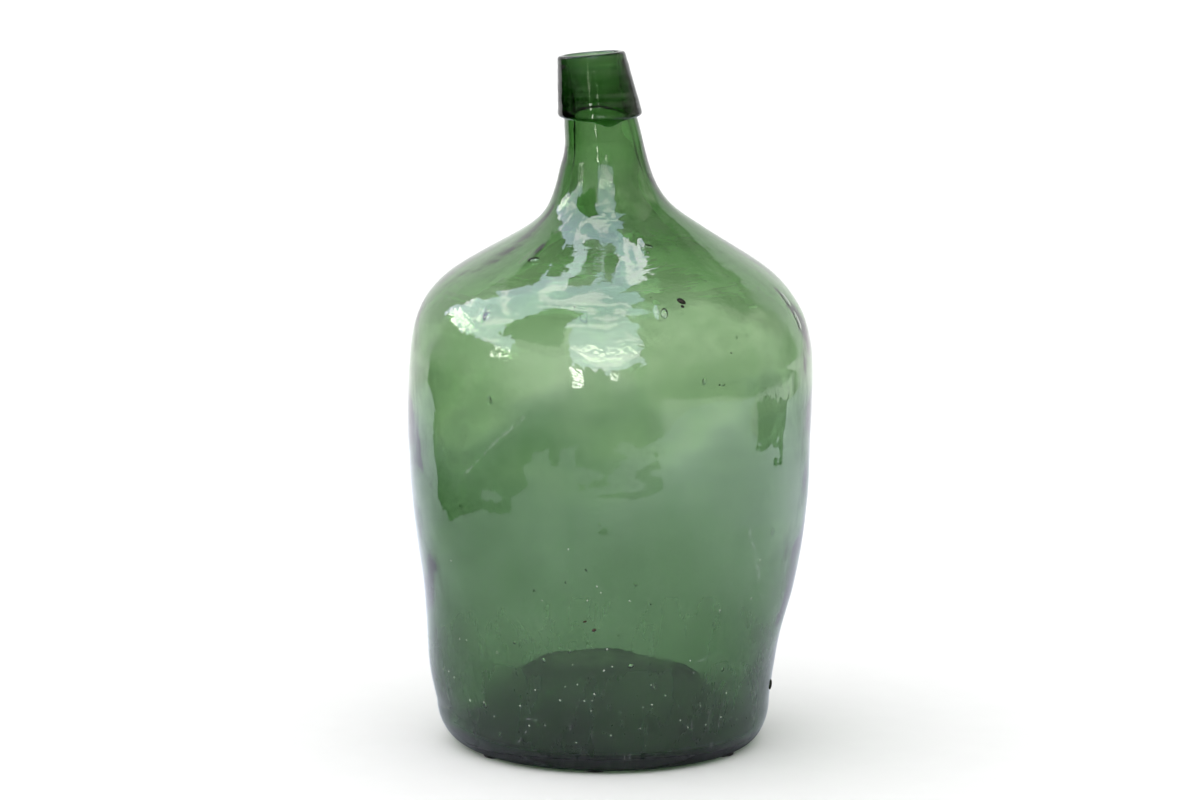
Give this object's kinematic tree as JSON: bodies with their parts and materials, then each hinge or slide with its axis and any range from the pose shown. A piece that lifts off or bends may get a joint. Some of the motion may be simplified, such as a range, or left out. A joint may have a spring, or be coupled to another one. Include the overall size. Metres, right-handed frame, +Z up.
{
  "type": "glass carboy",
  "caption": "Hand-blown green glass demijohn: sloping shoulders, a leaning neck with a tooled conical lip, a deep push-up base, and small rubber pads under the foot.",
  "frame": {"origin": "middle of the bounding box, on the floor plane the rubber pads stand on", "axes": "+Z up along the carboy's height; -Y is the front; the neck leans towards -X"},
  "size_m": [0.2456, 0.2454, 0.4216],
  "materials": {
    "green_glass": "clear green bottle glass, gloss, with seeds, dents and handling wear",
    "green_glass_thick": "the same green glass, thicker, so darker",
    "black_rubber": "matte"
  },
  "bodies": {
    "root": {"glass_vessel": "green_glass", "applied_lip": "green_glass_thick", "rubber_pad_front": "black_rubber", "rubber_pad_front_right": "black_rubber", "rubber_pad_back_right": "black_rubber", "rubber_pad_back": "black_rubber", "rubber_pad_back_left": "black_rubber", "rubber_pad_front_left": "black_rubber"}
  },
  "joints": []
}
